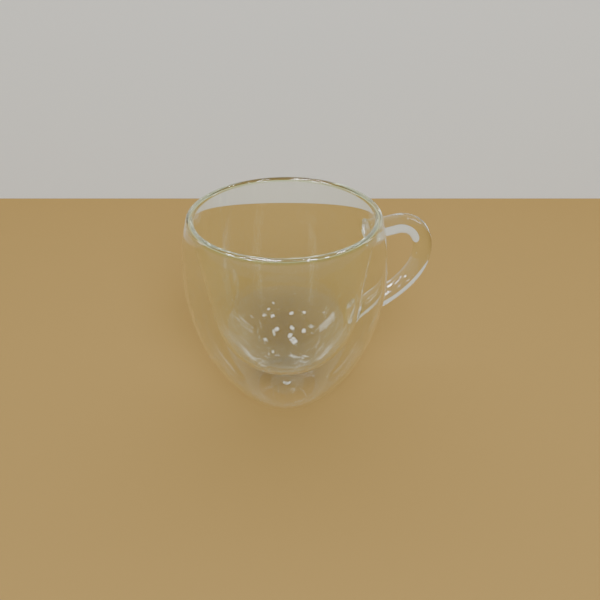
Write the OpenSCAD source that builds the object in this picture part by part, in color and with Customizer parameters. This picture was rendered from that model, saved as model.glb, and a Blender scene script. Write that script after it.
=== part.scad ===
// Double walled glass cup with a bent rod handle.
// Two blown bowls are fused at the lip, with a sealed air gap between them.
// The origin is the middle of the foot, +Z is up and the handle points along +X.

/* [Outer bowl] */
// Height from the foot to the top of the lip
cup_h = 89; // [80:1:100]
// Diameter at the widest part of the belly
belly_d = 85; // [76:1:95]
// Height of the widest part above the foot
belly_z = 62.5; // [56:0.5:68]
// Radius of the side's upright curve
side_arc_r = 92; // [80:1:120]
// Radius of the curve between the side and the foot
corner_r = 9; // [7:0.5:13]
// Thickness of the outer wall, below the stretch that thickens towards the lip
outer_wall_t = 1; // [0.8:0.05:1.6]
// Radius of the dished middle of the base
dish_r = 8; // [5:0.5:9.5]
// Depth of the dish
dish_depth = 0.8; // [0.6:0.1:1.2]

/* [Inner bowl] */
// Radius of the round bottom, outside
bowl_r = 31.6; // [28:0.1:33]
// Thickness of the inner wall's round bottom
inner_wall_t = 0.95; // [0.8:0.05:1.6]
// Height of the bowl's underside above the foot
bowl_z = 15.3; // [12:0.1:20]

/* [Lip] */
// Radius of the rounded lip
lip_r = 1.6; // [1.4:0.1:2]
// Radius of the notch where the air gap ends
notch_r = 0.35; // [0.25:0.05:0.5]
// Thickness that each wall gains on its way up to the lip, where the melted glass gathers
gather_t = 0.48; // [0.2:0.02:0.6]
// Distance below the top of the lip where the outer wall starts to gain it
gather_run = 18; // [14:1:24]

/* [Handle] */
// Thickness of the glass rod
rod_d = 8.8; // [7:0.1:10]
// Distance from the cup's axis to the outside of the handle
handle_reach = 76; // [72:1:84]
// Distance from the top of the lip down to the top arm's centre line
top_arm_drop = 17; // [14:0.5:21]
// Bend radius of the upper corner, at the centre line
corner_bend_r = 16.5; // [13:0.5:18]
// Angle that the upper corner turns through
corner_bend_a = 137; // [130:1:145]
// Bend radius of the lower sweep, at the centre line
sweep_bend_r = 36; // [30:1:42]
// Angle that the lower sweep turns through
sweep_bend_a = 26; // [18:1:32]
// How much the rod's radius swells where it is melted on
root_swell = 0.7; // [0.3:0.1:1]
// Length of the rod that swells
root_run = 6; // [4:0.5:8]

/* [Welds] */
// Width of the upper weld pad on the wall
upper_weld_d = 12.4; // [10:0.1:14]
// Width of the lower weld pad on the wall
lower_weld_d = 14.4; // [12:0.1:16]
// Height of the weld pads above the wall
weld_h = 2; // [1.5:0.1:3]

/* [Base seal] */
// Diameter of the vent hole in the base
vent_d = 3; // [2:0.1:4]
// Diameter of the bead that closes it
bead_d = 5.2; // [4.5:0.1:6]
// Height of the bead above the base, inside
bead_h = 0.9; // [0.6:0.1:1.5]
// Height of the nub left below the base
nub_h = 0.4; // [0.2:0.1:0.5]

/* [Hidden] */
$fn = 250;
rod_sides = 36;
arm_rings = 6;
corner_rings = 20;
sweep_rings = 4;
glass = [0.86, 0.93, 0.88, 0.45];
melted = [0.74, 0.86, 0.68, 0.6];

// Side curve: one arc, centred level with the widest part
belly_r = belly_d / 2;
side_x = belly_r - side_arc_r;

// Foot: the corner arc touches the side arc from inside and the table from above
foot_r = side_x + sqrt(pow(side_arc_r - corner_r, 2) - pow(belly_z - corner_r, 2));
function side_low_z(inset) = belly_z - (side_arc_r - inset) * (belly_z - corner_r) / (side_arc_r - corner_r);

// Lip: the bead touches the side arc from inside
lip_z = cup_h - lip_r;
lip_x = side_x + sqrt(pow(side_arc_r - lip_r, 2) - pow(lip_z - belly_z, 2));
lip_normal = [lip_x - side_x, lip_z - belly_z] / (side_arc_r - lip_r);

// Inner bowl: its flared side touches the round bottom and the inside of the lip bead
bowl_centre_z = bowl_z + bowl_r;
bowl_in_r = bowl_r - inner_wall_t;
lip_rise = lip_z - bowl_centre_z;
flare_a = acos((bowl_in_r + lip_r) / norm([lip_x, lip_rise])) - atan2(lip_rise, lip_x);
flare_normal = [cos(flare_a), -sin(flare_a)];
flare_run = [sin(flare_a), cos(flare_a)];

// Towards the lip the inner wall thickens evenly, its side to the air gap flaring a little more
gap_a = flare_a + atan2(gather_t, [lip_x, lip_rise] * flare_run);
gap_normal = [cos(gap_a), -sin(gap_a)];
gap_run = [sin(gap_a), cos(gap_a)];

// The outer wall thickens along an arc of its own, which leaves the side's inner arc without a kink
gather_z = cup_h - gather_run;
side_in_r = side_arc_r - outer_wall_t;
gather_r = 1 / (1 / side_in_r + 2 * gather_t / pow(gather_run, 2));
gather_a = asin((gather_z - belly_z) / side_in_r);
gather_c = [side_x, belly_z] + (side_in_r - gather_r) * [cos(gather_a), sin(gather_a)];

// Notch: a circle that touches both walls where the air gap closes
notch_start = [0, bowl_centre_z] + (bowl_r + notch_r) * gap_normal - gather_c;
notch_reach = gather_r - notch_r;
notch_along = notch_start * gap_run;
notch_rise = -notch_along + sqrt(notch_along * notch_along - notch_start * notch_start + notch_reach * notch_reach);
notch_c = notch_start + gather_c + notch_rise * gap_run;
seam_z = notch_c[1];

// Handle centre line in the XZ plane: top arm, corner bend, lower sweep and lower arm
rod_r = rod_d / 2;
top_arm_z = cup_h - top_arm_drop;
corner_c = [handle_reach - rod_r - corner_bend_r, top_arm_z - corner_bend_r];
turn_a = 90 - corner_bend_a;
sweep_c = corner_c + (corner_bend_r - sweep_bend_r) * [cos(turn_a), sin(turn_a)];
arm_a = turn_a - sweep_bend_a;
arm_start = sweep_c + sweep_bend_r * [cos(arm_a), sin(arm_a)];
arm_run = [sin(arm_a), -cos(arm_a)];

// Where a line in the XZ plane first meets the outside of the cup
function wall_hit(from, run) =
    let (q = from - [side_x, belly_z], along = q * run)
    from + run * (-along - sqrt(along * along - q * q + side_arc_r * side_arc_r));
top_hit = wall_hit([corner_c[0], top_arm_z], [-1, 0]);
low_hit = wall_hit(arm_start, arm_run);

// Side of a square that clears the whole cup
span = cup_h + belly_d;

// Radius of the circle that makes a cap of a given width and height
function cap_r(width, height) = (width * width / 4 + height * height) / (2 * height);

// Half of the cup's solid outline, kept a wall thickness inside the outer skin
module outline(inset) {
    low_z = side_low_z(inset);
    intersection() {
        translate([side_x, belly_z]) circle(side_arc_r - inset);
        translate([0, low_z]) square([span, lip_z - low_z]);
    }
    intersection() {
        union() {
            translate([foot_r, corner_r]) circle(corner_r - inset);
            translate([0, inset]) square([foot_r, corner_r]);
        }
        square([span, low_z]);
    }
}

// Shallow dish under the base, at a wall thickness above its outer skin
module dish(rise) {
    dish_arc_r = cap_r(2 * dish_r, dish_depth);
    intersection() {
        translate([0, dish_depth - dish_arc_r]) circle(dish_arc_r + rise);
        square(span);
    }
}

// Glass that the outer wall gains towards the lip
module gathered() {
    difference() {
        translate([0, gather_z]) square([span, gather_run]);
        translate(gather_c) circle(gather_r);
    }
}

// Half of a round bottomed bowl's outline, with straight sides that flare by an angle
module bowl_outline(r, tilt) {
    touch = [0, bowl_centre_z] + r * [cos(tilt), -sin(tilt)];
    far = touch + span * [sin(tilt), cos(tilt)];
    intersection() {
        translate([0, bowl_centre_z]) circle(r);
        square([span, touch[1]]);
    }
    polygon([[0, touch[1]], touch, far, [0, far[1]]]);
}

// The lip bead and the two walls that run up into it
module lip_outline() {
    outer_touch = [lip_x, lip_z] + 2 * lip_r * lip_normal;
    inner_touch = [lip_x, lip_z] - lip_r * flare_normal;
    inner_foot = inner_touch - flare_run * (inner_touch[1] - seam_z) / flare_run[1];
    translate([lip_x, lip_z]) circle(lip_r);
    intersection() {
        translate([side_x, belly_z]) circle(side_arc_r);
        polygon([[lip_x, lip_z], outer_touch, [span, outer_touch[1]], [span, seam_z], inner_foot, inner_touch]);
    }
}

// The cup as if it were solid, for trimming what is welded to it
module solid_cup() {
    rotate_extrude() difference() {
        outline(0);
        dish(0);
    }
}

// The air gap, as if the inner bowl weren't there
module hollow() {
    difference() {
        outline(outer_wall_t);
        dish(outer_wall_t);
        gathered();
    }
}

module outer_bowl() {
    color(glass) difference() {
        rotate_extrude() intersection() {
            difference() {
                outline(0);
                dish(0);
                hollow();
            }
            square([span, seam_z]);
        }
        cylinder(d = vent_d, h = corner_r);
    }
}

module inner_bowl() {
    color(glass) rotate_extrude() intersection() {
        difference() {
            bowl_outline(bowl_r, gap_a);
            bowl_outline(bowl_in_r, flare_a);
        }
        square([span, seam_z]);
    }
}

module rim_seam() {
    color(melted) rotate_extrude() difference() {
        intersection() {
            lip_outline();
            translate([0, seam_z]) square(span);
        }
        translate(notch_c) circle(notch_r);
    }
}

// Radius of the rod at a distance from the wall
function rod_r_at(from_wall) =
    let (share = max(0, 1 - from_wall / root_run)) rod_r + root_swell * share * share;

// Stations along the rod, from the upper weld to the lower one: [centre, angle of the normal, radius]
top_length = corner_c[0] - top_hit[0];
low_length = norm(arm_start - low_hit);
stations = concat(
    [for (i = [0:arm_rings]) let (from_wall = top_length * i / arm_rings - rod_r * (arm_rings - i) / arm_rings)
        [[top_hit[0] + from_wall, top_arm_z], 90, rod_r_at(from_wall)]],
    [for (i = [1:corner_rings]) let (a = 90 - corner_bend_a * i / corner_rings)
        [corner_c + corner_bend_r * [cos(a), sin(a)], a, rod_r]],
    [for (i = [1:sweep_rings]) let (a = turn_a - sweep_bend_a * i / sweep_rings)
        [sweep_c + sweep_bend_r * [cos(a), sin(a)], a, rod_r_at(low_length)]],
    [for (i = [1:arm_rings]) let (gone = (low_length + rod_d) * i / arm_rings)
        [arm_start + gone * arm_run, arm_a, rod_r_at(low_length - gone)]]
);

// The rod as one skin round its stations
module rod_skin() {
    points = [for (s = stations) for (j = [0:rod_sides - 1]) let (t = 360 * j / rod_sides, r = s[2] * cos(t))
        [s[0][0] + r * cos(s[1]), s[2] * sin(t), s[0][1] + r * sin(s[1])]];
    last = (len(stations) - 1) * rod_sides;
    sides = [for (i = [0:len(stations) - 2]) for (j = [0:rod_sides - 1]) let (k = (j + 1) % rod_sides, b = i * rod_sides)
        each [[b + j, b + k, b + rod_sides + k], [b + j, b + rod_sides + k, b + rod_sides + j]]];
    ends = [[for (j = [rod_sides - 1:-1:0]) j], [for (j = [0:rod_sides - 1]) last + j]];
    polyhedron(points, concat(sides, ends));
}

// The ball whose cap is a weld pad, seated square on the wall where an arm meets it
module weld_ball(hit, width) {
    ball_r = cap_r(width, weld_h);
    out = (hit - [side_x, belly_z]) / side_arc_r;
    centre = hit + (weld_h - ball_r) * out;
    translate([centre[0], 0, centre[1]]) sphere(ball_r);
}

module handle_rod() {
    color(glass) difference() {
        rod_skin();
        solid_cup();
        weld_ball(top_hit, upper_weld_d);
        weld_ball(low_hit, lower_weld_d);
    }
}

module upper_weld() {
    color(melted) difference() {
        weld_ball(top_hit, upper_weld_d);
        solid_cup();
    }
}

module lower_weld() {
    color(melted) difference() {
        weld_ball(low_hit, lower_weld_d);
        solid_cup();
    }
}

module base_seal() {
    inside_r = cap_r(bead_d, bead_h);
    nub_r = cap_r(vent_d, nub_h);
    inside_top = dish_depth + outer_wall_t + bead_h;
    color(melted) difference() {
        union() {
            translate([0, 0, dish_depth]) cylinder(d = vent_d, h = outer_wall_t);
            intersection() {
                translate([0, 0, inside_top - inside_r]) sphere(inside_r);
                translate([0, 0, dish_depth]) cylinder(d = bead_d, h = outer_wall_t + bead_h);
            }
            intersection() {
                translate([0, 0, dish_depth - nub_h + nub_r]) sphere(nub_r);
                cylinder(d = vent_d, h = dish_depth + outer_wall_t);
            }
        }
        outer_bowl();
    }
}

outer_bowl();
inner_bowl();
rim_seam();
handle_rod();
upper_weld();
lower_weld();
base_seal();
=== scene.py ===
from math import acos, asin, atan2, ceil, cos, pi, radians, sin, sqrt

import bmesh
import bpy
from mathutils import Matrix, Vector
from mathutils.bvhtree import BVHTree


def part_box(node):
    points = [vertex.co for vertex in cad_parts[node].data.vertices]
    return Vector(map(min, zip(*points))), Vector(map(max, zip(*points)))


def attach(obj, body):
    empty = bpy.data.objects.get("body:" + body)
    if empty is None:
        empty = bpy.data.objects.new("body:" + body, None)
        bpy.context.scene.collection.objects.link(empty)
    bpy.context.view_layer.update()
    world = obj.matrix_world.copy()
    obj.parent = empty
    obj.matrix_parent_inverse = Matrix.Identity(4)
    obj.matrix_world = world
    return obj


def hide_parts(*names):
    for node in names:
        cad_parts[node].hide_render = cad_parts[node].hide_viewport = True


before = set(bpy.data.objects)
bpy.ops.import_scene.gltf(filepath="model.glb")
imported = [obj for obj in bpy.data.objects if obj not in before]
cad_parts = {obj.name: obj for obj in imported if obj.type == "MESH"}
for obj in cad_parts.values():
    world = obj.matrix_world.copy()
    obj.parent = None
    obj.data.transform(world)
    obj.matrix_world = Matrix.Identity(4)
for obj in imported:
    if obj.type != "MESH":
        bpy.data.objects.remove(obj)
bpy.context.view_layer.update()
mm = 0.001

# How near counts as touching
tolerance = {
    "merge": 0.001 * mm,       # two vertices in one place
    "seam": 0.001 * mm,        # a face of the lip that lies on its seam
    "joint": 0.01 * mm,        # a face of the bowls or the seal that lies in a joint
    "sunk": 0.05 * mm,         # a face of a weld that lies in the wall
}

# Sizes that several pieces share. The outer ones come from the frame.
cup = {
    "height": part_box("rim_seam")[1].z,
    "bellyRadius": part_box("outer_bowl")[1].y,
    "bellyHeight": 62.5 * mm,
    "sideArc": 92 * mm,        # upright curve of the side
    "cornerArc": 9 * mm,       # between the side and the foot
    "outerWall": 1 * mm,
    "innerWall": 0.95 * mm,
    "gatherThick": 0.48 * mm,  # what each wall gains on its way up to the lip
    "gatherRun": 18 * mm,      # below the top of the lip, where the outer wall starts to gain it
    "bowlRadius": 31.6 * mm,   # round bottom of the inner bowl, outside
    "bowlUnderside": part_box("inner_bowl")[0].z,
    "lipRadius": 1.6 * mm,
    "notchRadius": 0.18 * mm,  # where the air gap ends under the lip, finer than in the solids
    "turnSteps": 256,
    "arcStep": 1.1 * mm,       # longest edge along an arc
    "leastArcSteps": 8,
    "smoothBelow": 40,         # degrees, edges sharper than this stay sharp
}


# Points of the cup's profile are (distance from the axis, height)
def onCircle(centre, radius, angle):
    return centre + radius * Vector((cos(angle), sin(angle)))


def atHeight(centre, radius, height):
    return Vector((centre.x + sqrt(radius ** 2 - (height - centre.y) ** 2), height))


def angleOf(point, centre):
    return atan2(point.y - centre.y, point.x - centre.x)


sideCentre = Vector((cup["bellyRadius"] - cup["sideArc"], cup["bellyHeight"]))
cornerCentre = Vector((0, cup["cornerArc"]))
cornerCentre.x = atHeight(sideCentre, cup["sideArc"] - cup["cornerArc"], cornerCentre.y).x
cornerEnd = angleOf(cornerCentre, sideCentre)
lipCentre = atHeight(sideCentre, cup["sideArc"] - cup["lipRadius"], cup["height"] - cup["lipRadius"])
bowlCentre = Vector((0, cup["bowlUnderside"] + cup["bowlRadius"]))
toLip = lipCentre - bowlCentre
bowlInside = cup["bowlRadius"] - cup["innerWall"]
flareAngle = acos((bowlInside + cup["lipRadius"]) / toLip.length) - atan2(toLip.y, toLip.x)
flareOut = Vector((cos(flareAngle), -sin(flareAngle)))
flareUp = Vector((sin(flareAngle), cos(flareAngle)))

# The walls gain glass towards the lip: the inner one evenly, the outer one along an arc of its own
gapAngle = flareAngle + atan2(cup["gatherThick"], toLip.dot(flareUp))
gapOut = Vector((cos(gapAngle), -sin(gapAngle)))
gapUp = Vector((sin(gapAngle), cos(gapAngle)))
sideInside = cup["sideArc"] - cup["outerWall"]
gatherFoot = atHeight(sideCentre, sideInside, cup["height"] - cup["gatherRun"])
gatherArc = 1 / (1 / sideInside + 2 * cup["gatherThick"] / cup["gatherRun"] ** 2)
gatherCentre = sideCentre.lerp(gatherFoot, 1 - gatherArc / sideInside)

# The air gap ends in a notch, a circle that touches both walls
notchReach = gatherArc - cup["notchRadius"]
notchFoot = bowlCentre + (cup["bowlRadius"] + cup["notchRadius"]) * gapOut - gatherCentre
notchAlong = notchFoot.dot(gapUp)
notchRise = -notchAlong + sqrt(notchAlong ** 2 - notchFoot.length_squared + notchReach ** 2)
notchCentre = gatherCentre + notchFoot + notchRise * gapUp
seamHeight = notchCentre.y
innerSeam = atHeight(gatherCentre, gatherArc, seamHeight)
outerSeam = atHeight(sideCentre, cup["sideArc"], seamHeight)


# A point on a straight stretch of the inner bowl, on its face towards the drink or towards the air gap
def onFlare(touch, upwards, height):
    return touch + upwards * ((height - touch.y) / upwards.y)


drinkTouch = bowlCentre + bowlInside * flareOut
drinkSeam = onFlare(drinkTouch, flareUp, seamHeight)
gapTouch = bowlCentre + cup["bowlRadius"] * gapOut
gapSeam = onFlare(gapTouch, gapUp, seamHeight)


# Drawing a profile in the XZ plane, one vertex at a time
def startAt(bm, point):
    return bmesh.ops.create_vert(bm, co=(point.x, 0, point.y))["vert"][0]


def lineTo(bm, vert, point):
    tip = bmesh.ops.extrude_vert_indiv(bm, verts=[vert])["verts"][0]
    tip.co = (point.x, 0, point.y)
    return tip


def arcTo(bm, vert, centre, angle):
    middle = Vector((centre.x, 0, centre.y))
    radius = (vert.co - middle).length
    steps = max(cup["leastArcSteps"], ceil(abs(angle) * radius / cup["arcStep"]))
    spun = bmesh.ops.spin(bm, geom=[vert], cent=middle, axis=(0, -1, 0), angle=angle, steps=steps)
    return spun["geom_last"][0]


def turnProfile(bm):
    bmesh.ops.remove_doubles(bm, verts=bm.verts, dist=tolerance["merge"])
    bmesh.ops.spin(bm, geom=bm.verts[:] + bm.edges[:], cent=(0, 0, 0), axis=(0, 0, 1),
                   angle=2 * pi, steps=cup["turnSteps"], use_merge=True)
    bmesh.ops.remove_doubles(bm, verts=bm.verts, dist=tolerance["merge"])


def finishPiece(bm, name, glass, isFused, node):
    bmesh.ops.recalc_face_normals(bm, faces=bm.faces)
    for face in bm.faces:
        face.smooth = True
        face.material_index = int(isFused(face))
    mesh = bpy.data.meshes.new(name)
    bm.to_mesh(mesh)
    bm.free()
    mesh.materials.append(glass)
    mesh.materials.append(fusedGlass)
    mesh.set_sharp_from_angle(angle=radians(cup["smoothBelow"]))
    piece = bpy.data.objects.new(name, mesh)
    piece.visible_shadow = node == "inner_bowl"  # all seven would darken the table too much
    bpy.context.scene.collection.objects.link(piece)
    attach(piece, "root")
    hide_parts(node)
    return piece


# Materials
def linear(hexText):
    parts = [int(hexText[i:i + 2], 16) / 255 for i in (1, 3, 5)]
    return [p / 12.92 if p <= 0.04045 else ((p + 0.055) / 1.055) ** 2.4 for p in parts] + [1]


def addNode(tree, kind, settings=None, links=None):
    node = tree.nodes.new(kind)
    for name, value in (settings or {}).items():
        node.inputs[name].default_value = value
    for name, source in (links or {}).items():
        tree.links.new(source, node.inputs[name])
    return node


def newMaterial(name):
    material = bpy.data.materials.new(name)
    material.use_nodes = True
    material.node_tree.nodes.clear()
    return material


borosilicate = {
    "ior": 1.474,
    "clear": "#fdfffc",        # thin blown wall, almost no colour
    "melted": "#e6f5cd",       # thick melted lip and welds, yellow green
    "rod": "#f8fcf5",
    "waveLength": 15 * mm,     # round the piece, the slow thick and thin places that blowing leaves
    "waveStretch": 2.5,        # they run this much longer along the axis that the piece was turned on
    "waveHeight": 0.02 * mm,
    "waveDetail": 1.0,
    "waveRoughness": 0.4,
}


# Blown borosilicate glass, fire polished: mirror smooth, and its thickness wanders a little
def blownGlass(name, colour):
    material = newMaterial(name)
    tree = material.node_tree
    place = addNode(tree, "ShaderNodeTexCoord")
    stretched = addNode(tree, "ShaderNodeMapping", {"Scale": (1, 1, 1 / borosilicate["waveStretch"])},
                        {"Vector": place.outputs["Object"]})
    wave = addNode(tree, "ShaderNodeTexNoise",
                   {"Scale": 1 / borosilicate["waveLength"], "Detail": borosilicate["waveDetail"],
                    "Roughness": borosilicate["waveRoughness"]},
                   {"Vector": stretched.outputs["Vector"]})
    bump = addNode(tree, "ShaderNodeBump", {"Strength": 1.0, "Distance": borosilicate["waveHeight"]},
                   {"Height": wave.outputs["Fac"]})
    glass = addNode(tree, "ShaderNodeBsdfPrincipled",
                    {"Base Color": linear(colour), "Roughness": 0.0, "IOR": borosilicate["ior"],
                     "Transmission Weight": 1.0},
                    {"Normal": bump.outputs["Normal"]})
    addNode(tree, "ShaderNodeOutputMaterial", {}, {"Surface": glass.outputs["BSDF"]})
    return material


# Inside a fused joint the glass runs on, so nothing shows there
def throughGlass(name):
    material = newMaterial(name)
    tree = material.node_tree
    clear = addNode(tree, "ShaderNodeBsdfTransparent", {"Color": (1, 1, 1, 1)})
    addNode(tree, "ShaderNodeOutputMaterial", {}, {"Surface": clear.outputs["BSDF"]})
    return material


wallGlass = blownGlass("blownBorosilicate", borosilicate["clear"])
rodGlass = blownGlass("drawnBorosilicate", borosilicate["rod"])
meltedGlass = blownGlass("meltedBorosilicate", borosilicate["melted"])
fusedGlass = throughGlass("fusedJoint")
print("materials made")

# Outer bowl
base = {
    "dishRadius": 8 * mm,
    "dishDepth": 0.8 * mm,
    "ventRadius": 1.5 * mm,
    "beadRadius": 2.6 * mm,
    "beadHeight": 0.9 * mm,    # above the floor of the air gap
    "nubHeight": 0.4 * mm,     # below the base
    "faceDown": -0.5,          # a normal that points down further than this looks at the wall
}


def capRadius(halfWidth, rise):
    return (halfWidth ** 2 + rise ** 2) / (2 * rise)


dishArc = capRadius(base["dishRadius"], base["dishDepth"])
dishCentre = Vector((0, base["dishDepth"] - dishArc))
dishInside = dishArc + cup["outerWall"]


def onDish(radius, distance):
    return Vector((distance, dishCentre.y + sqrt(radius ** 2 - distance ** 2)))


def outerBowlMesh():
    bm = bmesh.new()
    ventLow = onDish(dishArc, base["ventRadius"])
    beadEdge = onDish(dishInside, base["beadRadius"])
    ventTop = onDish(dishInside, base["ventRadius"])
    dishTurnIn = sqrt(dishInside ** 2 - (cup["outerWall"] - dishCentre.y) ** 2)
    pen = startAt(bm, ventLow)
    ringEdge = Vector((base["dishRadius"], 0))
    pen = arcTo(bm, pen, dishCentre, angleOf(ringEdge, dishCentre) - angleOf(ventLow, dishCentre))
    pen = lineTo(bm, pen, Vector((cornerCentre.x, 0)))
    pen = arcTo(bm, pen, cornerCentre, pi / 2 + cornerEnd)
    pen = arcTo(bm, pen, sideCentre, angleOf(outerSeam, sideCentre) - cornerEnd)
    pen = lineTo(bm, pen, innerSeam)
    gatherAngle = angleOf(gatherFoot, sideCentre)
    pen = arcTo(bm, pen, gatherCentre, gatherAngle - angleOf(innerSeam, gatherCentre))
    pen = arcTo(bm, pen, sideCentre, cornerEnd - gatherAngle)
    pen = arcTo(bm, pen, cornerCentre, -pi / 2 - cornerEnd)
    flatEdge = Vector((dishTurnIn, cup["outerWall"]))
    pen = lineTo(bm, pen, flatEdge)
    pen = arcTo(bm, pen, dishCentre, angleOf(beadEdge, dishCentre) - angleOf(flatEdge, dishCentre))
    pen = arcTo(bm, pen, dishCentre, angleOf(ventTop, dishCentre) - angleOf(beadEdge, dishCentre))
    lineTo(bm, pen, ventLow)
    turnProfile(bm)
    return bm


def fusedOnOuterBowl(face):
    middle = face.calc_center_median()
    distance = middle.xy.length
    atSeam = middle.z > seamHeight - tolerance["joint"]
    atVent = distance < base["ventRadius"] + tolerance["joint"]
    underBead = distance < base["beadRadius"] and middle.z > base["dishDepth"] + cup["outerWall"] / 2
    return atSeam or atVent or underBead


outerMesh = outerBowlMesh()
wallTree = BVHTree.FromBMesh(outerMesh)
outerBowl = finishPiece(outerMesh, "blownOuterBowl", wallGlass, fusedOnOuterBowl,
                        "outer_bowl")
print("outer bowl made")


# Inner bowl
def innerBowlMesh():
    bm = bmesh.new()
    pen = startAt(bm, onCircle(bowlCentre, cup["bowlRadius"], -pi / 2))
    pen = arcTo(bm, pen, bowlCentre, pi / 2 - gapAngle)
    pen = lineTo(bm, pen, gapSeam)
    pen = lineTo(bm, pen, drinkSeam)
    pen = lineTo(bm, pen, drinkTouch)
    arcTo(bm, pen, bowlCentre, flareAngle - pi / 2)
    turnProfile(bm)
    return bm


def fusedOnInnerBowl(face):
    return face.calc_center_median().z > seamHeight - tolerance["joint"]


finishPiece(innerBowlMesh(), "blownInnerBowl", wallGlass, fusedOnInnerBowl, "inner_bowl")
print("inner bowl made")


# Lip: the melted ring above the air gap
def lipMesh():
    bm = bmesh.new()
    lipNormal = angleOf(lipCentre, sideCentre)
    notchNormal = angleOf(notchCentre, gatherCentre)
    pen = startAt(bm, outerSeam)
    pen = arcTo(bm, pen, sideCentre, lipNormal - angleOf(outerSeam, sideCentre))
    pen = arcTo(bm, pen, lipCentre, pi - flareAngle - lipNormal)
    pen = lineTo(bm, pen, drinkSeam)
    pen = lineTo(bm, pen, gapSeam)
    pen = lineTo(bm, pen, notchCentre - cup["notchRadius"] * gapOut)
    pen = arcTo(bm, pen, notchCentre, notchNormal - pi + gapAngle)
    pen = lineTo(bm, pen, innerSeam)
    lineTo(bm, pen, outerSeam)
    turnProfile(bm)
    return bm


def fusedOnLip(face):
    return face.calc_center_median().z < seamHeight + tolerance["seam"]


finishPiece(lipMesh(), "meltedLip", meltedGlass, fusedOnLip, "rim_seam")
print("lip made")


# Base seal
def baseSealMesh():
    bm = bmesh.new()
    floorTop = base["dishDepth"] + cup["outerWall"]
    beadArc = capRadius(base["beadRadius"], base["beadHeight"])
    beadCentre = Vector((0, floorTop + base["beadHeight"] - beadArc))
    nubArc = capRadius(base["ventRadius"], base["nubHeight"])
    nubCentre = Vector((0, base["dishDepth"] - base["nubHeight"] + nubArc))
    beadEdge = onDish(dishInside, base["beadRadius"])
    ventTop = onDish(dishInside, base["ventRadius"])
    pen = startAt(bm, onCircle(beadCentre, beadArc, pi / 2))
    pen = arcTo(bm, pen, beadCentre, -asin(base["beadRadius"] / beadArc))
    pen = lineTo(bm, pen, beadEdge)
    pen = arcTo(bm, pen, dishCentre, angleOf(ventTop, dishCentre) - angleOf(beadEdge, dishCentre))
    pen = lineTo(bm, pen, onDish(dishArc, base["ventRadius"]))
    nubEdge = Vector((base["ventRadius"], nubCentre.y - sqrt(nubArc ** 2 - base["ventRadius"] ** 2)))
    pen = lineTo(bm, pen, nubEdge)
    arcTo(bm, pen, nubCentre, -pi / 2 - angleOf(nubEdge, nubCentre))
    turnProfile(bm)
    return bm


def fusedOnBaseSeal(face):
    middle = face.calc_center_median()
    pastVent = middle.xy.length - base["ventRadius"]
    inVent = abs(pastVent) < tolerance["joint"]
    underBead = pastVent > 0 and face.normal.z < base["faceDown"]
    return middle.z > base["dishDepth"] and (inVent or underBead)


# The bead is small enough to look as clear as the wall
finishPiece(baseSealMesh(), "meltedBaseSeal", wallGlass, fusedOnBaseSeal, "base_seal")
print("base seal made")

# Handle: a drawn rod, bent in the XZ plane
handle = {
    "reach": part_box("handle_rod")[1].x,
    "rodRadius": 4.4 * mm,
    "armDrop": 17 * mm,        # from the top of the lip to the top arm's centre line
    "cornerBend": 16.5 * mm,
    "cornerTurn": radians(137),
    "sweepBend": 36 * mm,
    "sweepTurn": radians(26),
    "swell": 0.7 * mm,         # of the radius where the rod is melted on
    "swellRun": 6 * mm,
    "sides": 72,
    "rootSteps": 8,
    "bendStep": 0.7 * mm,
}
weld = {
    "height": 1.8 * mm,        # along the arm, from the wall
    "foot": 0.75 * mm,         # how far the weld spreads past the rod
    "depth": 0.6 * mm,         # how far it has melted into the wall
    "steps": 8,
    "rayBack": 20 * mm,        # how far behind a face a ray at the wall starts
}
armHeight = cup["height"] - handle["armDrop"]
bendReach = handle["rodRadius"] + handle["cornerBend"]
bendCentre = Vector((handle["reach"] - bendReach, armHeight - handle["cornerBend"]))
sweepStart = pi / 2 - handle["cornerTurn"]
sweepCentre = onCircle(bendCentre, handle["cornerBend"] - handle["sweepBend"], sweepStart)
armEnd = sweepStart - handle["sweepTurn"]
lowStart = onCircle(sweepCentre, handle["sweepBend"], armEnd)


# An arm of the handle: a point on its centre line, and the way from there to the wall
class Arm:
    def __init__(self, start, towards):
        self.start = Vector((start.x, 0, start.y))
        self.towards = Vector((towards.x, 0, towards.y))

    # The ring's vertices go to the wall along the arm, then back by the lift
    def layRing(self, verts, radius, lift):
        for vert in verts:
            offset = vert.co - self.start
            offset -= self.towards * offset.dot(self.towards)
            origin = self.start + offset.normalized() * radius
            hit = wallTree.ray_cast(origin, self.towards)[0]
            vert.co = hit - self.towards * lift


def swollen(lift):
    return handle["rodRadius"] + handle["swell"] * max(0, 1 - lift / handle["swellRun"]) ** 2


def growRing(bm, ring):
    grown = bmesh.ops.extrude_edge_only(bm, edges=ring)["geom"]
    verts = [item for item in grown if isinstance(item, bmesh.types.BMVert)]
    fresh = set(verts)
    edges = [item for item in grown if isinstance(item, bmesh.types.BMEdge) and fresh.issuperset(item.verts)]
    return verts, edges


def startRing(bm, arm, radius):
    turn = arm.towards.to_track_quat("Z", "Y").to_matrix().to_4x4()
    made = bmesh.ops.create_circle(bm, segments=handle["sides"], radius=radius,
                                   matrix=Matrix.Translation(arm.start) @ turn)
    return made["verts"], list({edge for vert in made["verts"] for edge in vert.link_edges})


def closeRing(bm, edges):
    bmesh.ops.holes_fill(bm, edges=edges, sides=0)


def bendRing(bm, ring, centre, radius, angle):
    verts = list({vert for edge in ring for vert in edge.verts})
    steps = ceil(angle * radius / handle["bendStep"])
    spun = bmesh.ops.spin(bm, geom=verts + ring, cent=(centre.x, 0, centre.y), axis=(0, 1, 0),
                          angle=angle, steps=steps)
    return [item for item in spun["geom_last"] if isinstance(item, bmesh.types.BMEdge)]


topArm = Arm(Vector((bendCentre.x, armHeight)), Vector((-1, 0)))
lowArm = Arm(lowStart, Vector((sin(armEnd), -cos(armEnd))))


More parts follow.
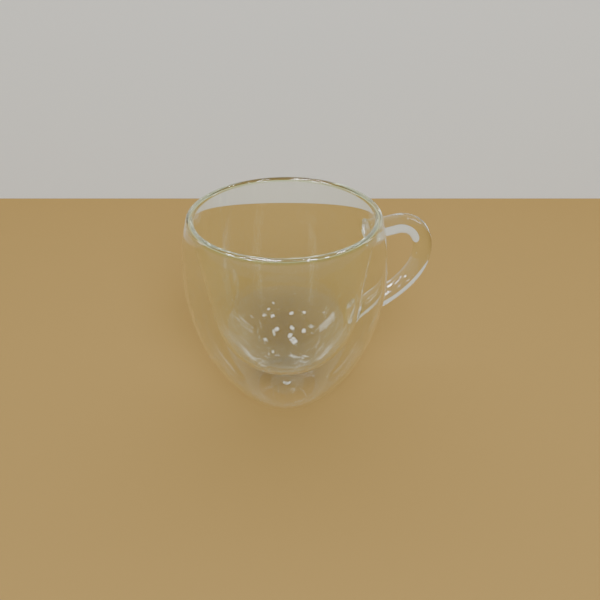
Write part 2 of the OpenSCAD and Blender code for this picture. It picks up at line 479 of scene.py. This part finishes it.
def growRoot(bm, arm, ring):
    for step in range(handle["rootSteps"] + 1):
        lift = weld["height"] + (handle["swellRun"] - weld["height"]) * (1 - step / handle["rootSteps"])
        verts, ring = growRing(bm, ring)
        arm.layRing(verts, swollen(lift), lift)
    closeRing(bm, ring)


def handleMesh():
    bm = bmesh.new()
    _, ring = startRing(bm, topArm, handle["rodRadius"])
    growRoot(bm, topArm, ring)
    ring = bendRing(bm, ring, bendCentre, handle["cornerBend"], handle["cornerTurn"])
    ring = bendRing(bm, ring, sweepCentre, handle["sweepBend"], handle["sweepTurn"])
    growRoot(bm, lowArm, ring)
    return bm


# All other faces of the rod and the welds have four corners
def isEndCap(face):
    return len(face.verts) > 4


finishPiece(handleMesh(), "drawnHandleRod", rodGlass, isEndCap, "handle_rod")
print("handle made")


# Welds: a melted fillet round each end of the rod, sunk into a pocket in the wall
def weldMesh(arm):
    bm = bmesh.new()
    neck = swollen(weld["height"])
    verts, ring = startRing(bm, arm, neck)
    arm.layRing(verts, neck, weld["height"])
    first = list(ring)
    for step in range(1, weld["steps"] + 1):
        slope = pi / 2 * step / weld["steps"]
        verts, ring = growRing(bm, ring)
        arm.layRing(verts, neck + weld["foot"] * (1 - cos(slope)), weld["height"] * (1 - sin(slope)))
    verts, ring = growRing(bm, ring)
    arm.layRing(verts, neck + weld["foot"], -weld["depth"])
    closeRing(bm, first + ring)
    return bm


def weldIsFused(arm):
    def isFused(face):
        middle = face.calc_center_median()
        hit = wallTree.ray_cast(middle - arm.towards * weld["rayBack"], arm.towards)[0]
        sunk = (middle - hit).dot(arm.towards) > tolerance["sunk"]
        return isEndCap(face) or sunk
    return isFused


def cutPocket(arm, name):
    bm = bmesh.new()
    radius = swollen(weld["height"]) + weld["foot"]
    verts, ring = startRing(bm, arm, radius)
    arm.layRing(verts, radius, weld["height"])
    first = list(ring)
    verts, ring = growRing(bm, ring)
    arm.layRing(verts, radius, -weld["depth"])
    closeRing(bm, first + ring)
    bmesh.ops.recalc_face_normals(bm, faces=bm.faces)
    for face in bm.faces:
        face.material_index = 1  # fused all over
    mesh = bpy.data.meshes.new(name)
    bm.to_mesh(mesh)
    bm.free()
    mesh.materials.append(wallGlass)
    mesh.materials.append(fusedGlass)
    cutter = bpy.data.objects.new(name, mesh)
    bpy.context.scene.collection.objects.link(cutter)
    cut = outerBowl.modifiers.new(name, "BOOLEAN")
    cut.operation = "DIFFERENCE"
    cut.solver = "EXACT"
    cut.object = cutter
    bpy.context.view_layer.update()
    depsgraph = bpy.context.evaluated_depsgraph_get()
    cutMesh = bpy.data.meshes.new_from_object(outerBowl.evaluated_get(depsgraph))
    outerBowl.modifiers.clear()
    outerBowl.data = cutMesh
    bpy.data.objects.remove(cutter)


for arm, name, node in ((topArm, "meltedUpperWeld", "upper_weld"),
                        (lowArm, "meltedLowerWeld", "lower_weld")):
    finishPiece(weldMesh(arm), name, meltedGlass, weldIsFused(arm), node)
    cutPocket(arm, name + "Pocket")
outerBowl.data.set_sharp_from_angle(angle=radians(cup["smoothBelow"]))
print("welds made")

# Stage: a plain pale table, and a plain wall behind it as far off as in the photograph
stage = {
    "tableSize": 3.0,
    "wallDistance": 218 * mm,  # from the cup's axis
    "wallHeight": 0.6,
    "table": "#c2a061",
    "tableRoughness": 0.55,
    "wall": "#eef3f3",
    "wallRoughness": 0.7,
}


# Matte paint: it throws light back evenly and mirrors nothing
def mattePaint(name, colour, roughness):
    material = newMaterial(name)
    tree = material.node_tree
    paint = addNode(tree, "ShaderNodeBsdfPrincipled",
                    {"Base Color": linear(colour), "Roughness": roughness, "Specular IOR Level": 0.0})
    addNode(tree, "ShaderNodeOutputMaterial", {}, {"Surface": paint.outputs["BSDF"]})
    return material


shot = {
    "azimuth": radians(-25.5),     # the handle points this far away from the camera's right
    "elevation": radians(24.9),    # of the camera above the middle of the mouth
    "distance": 240.15 * mm,       # from the middle of the mouth
    "imageSize": 600,
    "mouthPixel": (283.0, 212.6),  # where the middle of the mouth falls
    "sensor": 36,                  # in mm, as the lens is
    "lens": 36,
    "nearest": 10 * mm,            # that the camera still sees
}
focalPixels = shot["imageSize"] * shot["lens"] / shot["sensor"]
heading = shot["azimuth"] - atan2(shot["imageSize"] / 2 - shot["mouthPixel"][0], focalPixels)
tilt = shot["elevation"] + atan2(shot["imageSize"] / 2 - shot["mouthPixel"][1], focalPixels)


# A square of one by one, stretched to its size
def stagePlane(name, size, place, turn, material):
    bm = bmesh.new()
    bmesh.ops.create_grid(bm, x_segments=1, y_segments=1, size=1 / 2)
    bmesh.ops.transform(bm, matrix=place @ turn @ Matrix.Diagonal((*size, 1, 1)), verts=bm.verts)
    mesh = bpy.data.meshes.new(name)
    bm.to_mesh(mesh)
    bm.free()
    mesh.materials.append(material)
    plane = bpy.data.objects.new(name, mesh)
    bpy.context.scene.collection.objects.link(plane)
    return plane


ahead = Vector((-sin(heading), cos(heading), 0))
stagePlane("table", (stage["tableSize"], stage["tableSize"]), Matrix.Identity(4), Matrix.Identity(4),
           mattePaint("mattePaleTable", stage["table"], stage["tableRoughness"]))
stagePlane("wall", (stage["tableSize"], stage["wallHeight"]),
           Matrix.Translation(ahead * stage["wallDistance"] + Vector((0, 0, stage["wallHeight"] / 2))),
           Matrix.Rotation(heading, 4, "Z") @ Matrix.Rotation(pi / 2, 4, "X"),
           mattePaint("mattePaleWall", stage["wall"], stage["wallRoughness"]))

# Camera at the photograph's angle
camera = bpy.data.objects.new("camera", bpy.data.cameras.new("camera"))
camera.data.sensor_width = shot["sensor"]
camera.data.lens = shot["lens"]
camera.data.clip_start = shot["nearest"]
flat = shot["distance"] * cos(shot["elevation"])
camera.location = (sin(shot["azimuth"]) * flat, -cos(shot["azimuth"]) * flat,
                   cup["height"] + shot["distance"] * sin(shot["elevation"]))
camera.rotation_euler = (pi / 2 - tilt, 0, heading)
bpy.context.scene.collection.objects.link(camera)
bpy.context.scene.camera = camera

# Light: an even room, one wide soft panel, and bright cards that only the glass shows, for crisp glints
room = {
    "sky": "#e4e6ea",
    "glowOnMatte": 0.13,       # the sky's strength on the table and the wall
    "glowInGlass": 0.62,       # and where glass shows it
    "glassBounces": 200,
}
softPanel = {
    "place": (-0.42, -0.95, 1.05),
    "size": (1.3, 1.1),
    "power": 25,
}
ceilingCards = {
    "size": (0.17, 0.13),
    "height": 1.3,
    "glow": 100,
    "places": {
        "frontLeft": (-0.68, -0.80), "frontRight": (0.21, -1.03), "frontFar": (-0.02, -2.25),
        "frontRightFar": (0.357, -1.62), "nearLeft": (-0.32, -0.16), "nearRight": (0.20, -0.35),
        "sideLeft": (-0.60, 0.22), "sideRight": (0.75, 0.05), "farLeft": (-1.25, -0.45),
        "farRight": (0.66, -1.17), "leftFar": (-0.95, 0.33), "above": (-0.10, 0.08),
        "behindNear": (-0.094, 0.267), "behind": (-0.088, 0.419),
    },
}
sideCards = {
    "size": (0.1, 0.3),
    "height": 0.26,
    "glow": 5,
    "places": {"sideCardLeft": (-0.40, 0.32), "sideCardRight": (0.50, -0.11)},
}


def facingCup(place):
    return (-Vector(place)).to_track_quat("-Z", "Y")


# One strength for what the glass shows, and another for what falls on a matte surface
def glowByPath(tree, inGlass, onMatte):
    path = addNode(tree, "ShaderNodeLightPath")
    return addNode(tree, "ShaderNodeMapRange", {"To Min": inGlass, "To Max": onMatte},
                   {"Value": path.outputs["Diffuse Depth"]}).outputs["Result"]


def addCards(name, cards):
    material = newMaterial(name)
    tree = material.node_tree
    light = addNode(tree, "ShaderNodeEmission", {}, {"Strength": glowByPath(tree, cards["glow"], 0)})
    addNode(tree, "ShaderNodeOutputMaterial", {}, {"Surface": light.outputs["Emission"]})
    material.cycles.emission_sampling = "NONE"
    for cardName, (across, away) in cards["places"].items():
        place = (across, away, cards["height"])
        card = stagePlane(cardName, cards["size"], Matrix.Translation(place),
                          facingCup(place).to_matrix().to_4x4(), material)
        card.visible_camera = card.visible_diffuse = card.visible_shadow = False


world = bpy.data.worlds.new("softRoom")
world.use_nodes = True
sky = world.node_tree.nodes["Background"]
sky.inputs["Color"].default_value = linear(room["sky"])
world.node_tree.links.new(glowByPath(world.node_tree, room["glowInGlass"], room["glowOnMatte"]),
                          sky.inputs["Strength"])
bpy.context.scene.world = world
light = bpy.data.lights.new("softPanel", "AREA")
light.shape = "RECTANGLE"
light.size, light.size_y = softPanel["size"]
light.energy = softPanel["power"]
softLamp = bpy.data.objects.new("softPanel", light)
softLamp.location = softPanel["place"]
softLamp.rotation_euler = facingCup(softPanel["place"]).to_euler()
softLamp.visible_camera = softLamp.visible_glossy = softLamp.visible_transmission = False
bpy.context.scene.collection.objects.link(softLamp)
addCards("ceilingCardGlow", ceilingCards)
addCards("sideCardGlow", sideCards)

# Light crosses ten surfaces of glass on its way, and bounces on inside the lip and the rod
cycles = bpy.context.scene.cycles
cycles.max_bounces = room["glassBounces"]
cycles.transmission_bounces = room["glassBounces"]
cycles.transparent_max_bounces = room["glassBounces"]
cycles.glossy_bounces = room["glassBounces"]
print("stage, camera and lights made")
